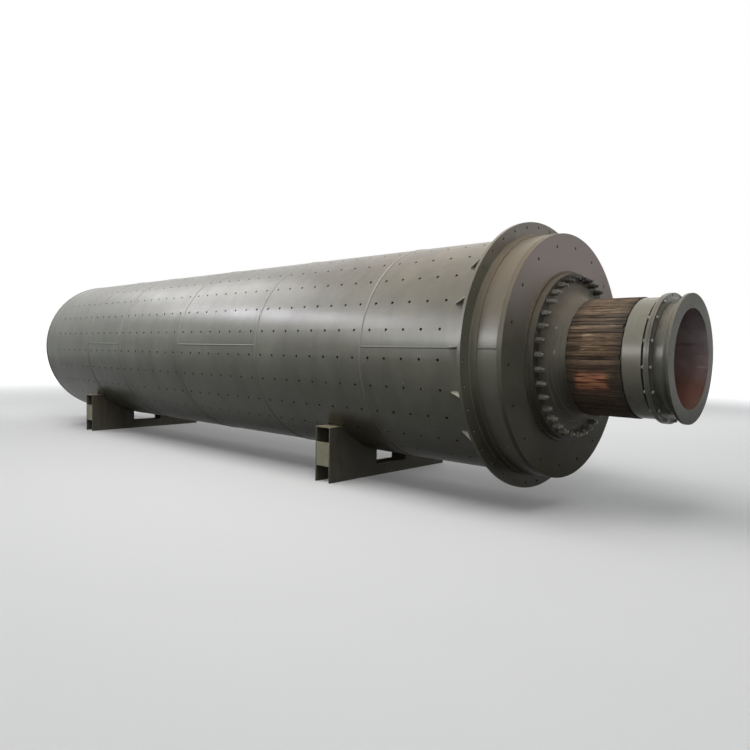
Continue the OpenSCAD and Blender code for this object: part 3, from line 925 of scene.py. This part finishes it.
def cylinder(name, sides, radius, depth, x):
    """A cylinder along X whose near face is at x."""
    return primitive(
        bpy.ops.mesh.primitive_cylinder_add, name, vertices=sides, radius=radius, depth=depth,
        location=(x - depth / 2, 0, 0), rotation=(0, QUARTER_TURN, 0))


def hex_prism(name, flats, depth, x):
    """A chamfered hexagon along X whose near face is at x."""
    edge = 0.0022
    corner = flats / 2 / math.cos(math.radians(30))
    obj = cylinder(name, 6, corner, depth, x)
    cutter = cylinder("chamfer_cutter", 24, corner * 1.005, depth, x)
    chamfer(cutter, edge * 2)
    trim = obj.modifiers.new("trim", "BOOLEAN")
    trim.operation = "INTERSECT"
    trim.solver = "EXACT"
    trim.object = cutter
    apply_all(obj)
    drop(cutter)
    turn_outward(obj)
    smooth(obj, 30)
    return obj


def disc(name, radius, depth, x, sides=20, edge=0.001):
    """A round plate along X whose near face is at x."""
    obj = cylinder(name, sides, radius, depth, x)
    chamfer(obj, edge)
    smooth(obj, 40)
    return obj


def threaded_end(name, radius, start, end, pitch=0.004, sides=14):
    """A threaded bar along X, its ridges drawn out one by one."""
    root, ridge = 0.9, 1.11
    obj = primitive(
        bpy.ops.mesh.primitive_circle_add, name, vertices=sides, radius=radius * root, fill_type="NGON",
        location=(start, 0, 0), rotation=(0, QUARTER_TURN, 0))
    edit(obj, everything=True)
    turns = int((end - start) / pitch)
    half = (end - start) / turns / 2
    for _ in range(turns):
        for grow in (ridge, 1 / ridge):
            bpy.ops.mesh.extrude_region_move(TRANSFORM_OT_translate={"value": (half, 0, 0)})
            bpy.ops.transform.resize(value=(1, grow, grow))
    close_edit()
    turn_outward(obj)
    smooth(obj, 30)
    return obj


def bolt_circle(face, side, count, radius, start, seeded, missing=None):
    """The places of one circle of bolts, each turned on its own axis by chance."""
    places = []
    for number in range(count):
        if number != missing:
            place = round_drum(side * face, radius, math.degrees(start) + 360 * number / count, side)
            places.append(place @ Matrix.Rotation(seeded.uniform(0, math.tau / 6), 4, "X"))
    return places


class MILL_OT_trunnion_studs(bpy.types.Operator):
    """Set the studs with washers and double nuts round both trunnion flanges"""
    bl_idname = "mill.trunnion_studs"
    bl_label = "Trunnion studs"

    def execute(self, context):
        fasteners = context.scene.mill_fasteners
        washer, nut, gap, stud_radius = 0.005, 0.030, 0.0008, 0.018
        parts = [
            disc("stud_washer", fasteners.nut_flats * 0.6, washer, washer),
            hex_prism("stud_nut", fasteners.nut_flats, nut, washer + nut),
            hex_prism("stud_nut", fasteners.nut_flats, nut, washer + 2 * nut + gap),
        ]
        pattern = join(parts, "stud_nuts")
        thread = threaded_end("stud_thread", stud_radius, washer + nut, fasteners.stud_reach)
        for end, side in ENDS.items():
            seeded = random.Random(20 + side)
            places = bolt_circle(
                TRUNNION_FACE, side, fasteners.stud_count, fasteners.stud_circle, fasteners.stud_start,
                seeded)
            seats = join(copies(pattern, places), end + "_stud_nuts")
            tips = [place @ Matrix.Translation((seeded.uniform(0.0, fasteners.stud_spread), 0, 0))
                    for place in places]
            finish_piece([seats] + copies(thread, tips), end + "_trunnion_studs", "steel")
        drop(pattern)
        drop(thread)
        return {"FINISHED"}


class MILL_OT_sleeve_bolts(bpy.types.Operator):
    """Bolt the plates of each sleeve's mounting flange together, with one bolt missing at the near end"""
    bl_idname = "mill.sleeve_bolts"
    bl_label = "Sleeve bolts"

    def execute(self, context):
        fasteners = context.scene.mill_fasteners
        flats, head, washer, nut, bolt_radius = 0.030, 0.0125, 0.003, 0.016, 0.010
        nut_end = -MOUNT_THICKNESS - nut
        missing = {"near": 4, "far": None}
        parts = [
            hex_prism("bolt_head", flats, head, washer + head),
            disc("bolt_washer", 0.0185, washer, washer, 16, 0.0006),
            hex_prism("bolt_nut", flats, nut, -MOUNT_THICKNESS),
            threaded_end("bolt_thread", bolt_radius, nut_end - 0.006, nut_end + 0.002, 0.0025, 12),
        ]
        pattern = join(parts, "bolt")
        for end, side in ENDS.items():
            places = bolt_circle(
                MOUNT_FACE, side, fasteners.bolt_count, fasteners.bolt_circle, fasteners.bolt_start,
                random.Random(50 + side), missing[end])
            finish_piece(copies(pattern, places), end + "_sleeve_bolts", "bright_steel")
        drop(pattern)
        return {"FINISHED"}


class MILL_OT_saddle_welds(bpy.types.Operator):
    """Lay the fillet welds where the saddles' caps meet their webs"""
    bl_idname = "mill.saddle_welds"
    bl_label = "Saddle welds"

    def execute(self, context):
        radius = context.scene.mill_welds.fillet_bead
        inner_end, margin = 0.95, 0.004
        parts = []
        for end in ENDS:
            caps_low, caps_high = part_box(end + "_saddle_caps")
            z = caps_low[2] - radius * 0.2
            for web in ("_saddle_inner_web", "_saddle_outer_web"):
                low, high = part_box(end + web)
                side = 1 if high[0] > (caps_low[0] + caps_high[0]) / 2 else -1
                x = (high if side > 0 else low)[0] + side * radius * 0.1
                for hand in (-1, 1):
                    start, stop = (x, hand * inner_end, z), (x, hand * (caps_high[1] - margin), z)
                    parts.append(bead("saddle_bead", start, stop, radius, 8, 200 + len(parts)))
        finish_piece(parts, "saddle_welds", "saddle_weld")
        return {"FINISHED"}


def soft_lamp(name, place, target, size, power, roll=0.0, diffuse=True, glossy=True):
    """A large soft rectangular lamp, which may be only mirrored (no diffuse) or only light (no glossy)."""
    deselect()
    bpy.ops.object.light_add(type="AREA", location=place)
    lamp = bpy.context.object
    lamp.name = name
    lamp.data.shape = "RECTANGLE"
    lamp.data.size, lamp.data.size_y = size
    lamp.data.energy = power
    lamp.visible_diffuse = diffuse
    lamp.visible_glossy = glossy
    turn = (Vector(target) - lamp.location).to_track_quat("-Z", "Y").to_matrix()
    lamp.rotation_euler = (turn @ Matrix.Rotation(math.radians(roll), 3, "Z")).to_euler()
    return lamp


class MILL_OT_stage(bpy.types.Operator):
    """Build the plain studio: floor, world, soft lamps and the camera"""
    bl_idname = "mill.stage"
    bl_label = "Studio"

    def execute(self, context):
        stage = context.scene.mill_stage
        self.floor(stage.floor_size)
        self.world(context.scene, stage.fill)
        self.lamps(stage)
        self.camera(context.scene, stage)
        return {"FINISHED"}

    def floor(self, size):
        """A pale floor that fades into the white backdrop far from the mill, and bounces little light."""
        bounce, seen_floor, fade_from, fade_to = (0.065, 0.064, 0.058), (0.74, 0.74, 0.73), 10.0, 26.0
        floor = primitive(bpy.ops.mesh.primitive_plane_add, "studio_floor", size=size)
        s = Shader("studio_floor", bounce)
        seen = s.seen_rays()
        s.coat(seen_floor, seen)
        glow = s.spread(s.length(s.place), fade_from, fade_to, 0.08, 1.0, "SMOOTHSTEP")
        s.feed(s.surface, {"Emission Color": (1, 1, 1), "Emission Strength": s.times(glow, seen)})
        floor.data.materials.append(s.finish(0.9, specular=0.0))

    def world(self, scene, fill):
        """A white background to the eye, and a dim even light to everything else."""
        world = bpy.data.worlds.new("studio_world")
        scene.world = world
        world.use_nodes = True
        g = Graph(world.node_tree)
        dim = g.add("Background", {"Color": (0.93, 0.96, 1.0), "Strength": fill})[0]
        white = g.add("Background", {"Color": (1, 1, 1)})[0]
        mix = g.add("MixShader", {0: g.seen_rays(), 1: dim, 2: white})[0]
        g.feed(g.nodes["World Output"].inputs, {"Surface": mix})

    def lamps(self, stage):
        """Lights the mill. Both windows and the glow are only mirrored, two others only light."""
        soft_lamp(
            "overhead_lamp", (3.4, -3.4, 8.4), (3.4, -0.2, 1.6), (11.0, 5.0), stage.overhead_power,
            glossy=False)
        window = soft_lamp(
            "window_lamp", (-14.0, -11.5, 11.7), (-14.0, -1.2, 2.1), (18.0, 2.8), stage.window_power,
            stage.window_roll, diffuse=False)
        window.data.color = (0.93, 0.92, 1.0)
        soft_lamp(
            "window_glow_lamp", (-14.0, -11.5, 6.6), (-14.0, -1.2, 1.9), (18.0, 3.4), stage.window_glow_power,
            diffuse=False)
        soft_lamp("roof_lamp", (-11.0, -2.5, 10.5), (-6.0, -0.5, 1.6), (8.0, 6.0), stage.roof_power)
        soft_lamp(
            "low_window_lamp", (0.2, -11.5, 4.5), (6.0, -0.5, 1.7), (8.0, 1.3), stage.low_window_power,
            diffuse=False)
        soft_lamp("side_lamp", (11.5, -13.0, 6.0), (5.5, 0, 1.5), (5.0, 4.0), stage.side_power)
        soft_lamp(
            "back_lamp", (0.0, 12.0, 7.5), (0.0, 0.8, 1.3), (16.0, 5.0), stage.back_power, glossy=False)

    def camera(self, scene, stage):
        """The photo's camera."""
        deselect()
        bpy.ops.object.camera_add(location=stage.camera_place, rotation=Euler(stage.camera_turn))
        camera = bpy.context.object
        camera.name = "studio_camera"
        camera.data.lens = stage.lens
        camera.data.sensor_width = 36.0
        camera.data.clip_end = 500
        scene.camera = camera
        scene.view_settings.view_transform = "Standard"


class MILL_PT_panel(bpy.types.Panel):
    """The ball mill's tools in the sidebar"""
    bl_label = "Ball Mill"
    bl_idname = "MILL_PT_panel"
    bl_space_type = "VIEW_3D"
    bl_region_type = "UI"
    bl_category = "Ball Mill"

    def draw(self, context):
        for group in SETTINGS:
            settings = getattr(context.scene, group)
            box = self.layout.box()
            for name in settings.bl_rna.properties.keys():
                if name not in ("rna_type", "name"):
                    box.prop(settings, name)
        for operator in STEPS:
            self.layout.operator(operator.bl_idname)


SETTINGS = {
    "mill_paint": PaintSettings,
    "mill_welds": WeldSettings,
    "mill_boards": BoardSettings,
    "mill_fasteners": FastenerSettings,
    "mill_stage": StageSettings,
}
STEPS = (
    MILL_OT_paint,
    MILL_OT_seam_welds,
    MILL_OT_long_welds,
    MILL_OT_gusset_welds,
    MILL_OT_journal_boards,
    MILL_OT_trunnion_studs,
    MILL_OT_sleeve_bolts,
    MILL_OT_saddle_welds,
    MILL_OT_stage,
)


def register():
    for group, settings in SETTINGS.items():
        bpy.utils.register_class(settings)
        setattr(bpy.types.Scene, group, PointerProperty(type=settings))
    for step in STEPS:
        bpy.utils.register_class(step)
    bpy.utils.register_class(MILL_PT_panel)


def unregister():
    bpy.utils.unregister_class(MILL_PT_panel)
    for step in reversed(STEPS):
        bpy.utils.unregister_class(step)
    for group, settings in SETTINGS.items():
        delattr(bpy.types.Scene, group)
        bpy.utils.unregister_class(settings)


def main():
    register()
    bpy.ops.mill.paint()
    bpy.ops.mill.seam_welds()
    bpy.ops.mill.long_welds()
    bpy.ops.mill.gusset_welds()
    bpy.ops.mill.journal_boards()
    bpy.ops.mill.trunnion_studs()
    bpy.ops.mill.sleeve_bolts()
    bpy.ops.mill.saddle_welds()
    bpy.ops.mill.stage()


if __name__ == "__main__":
    main()
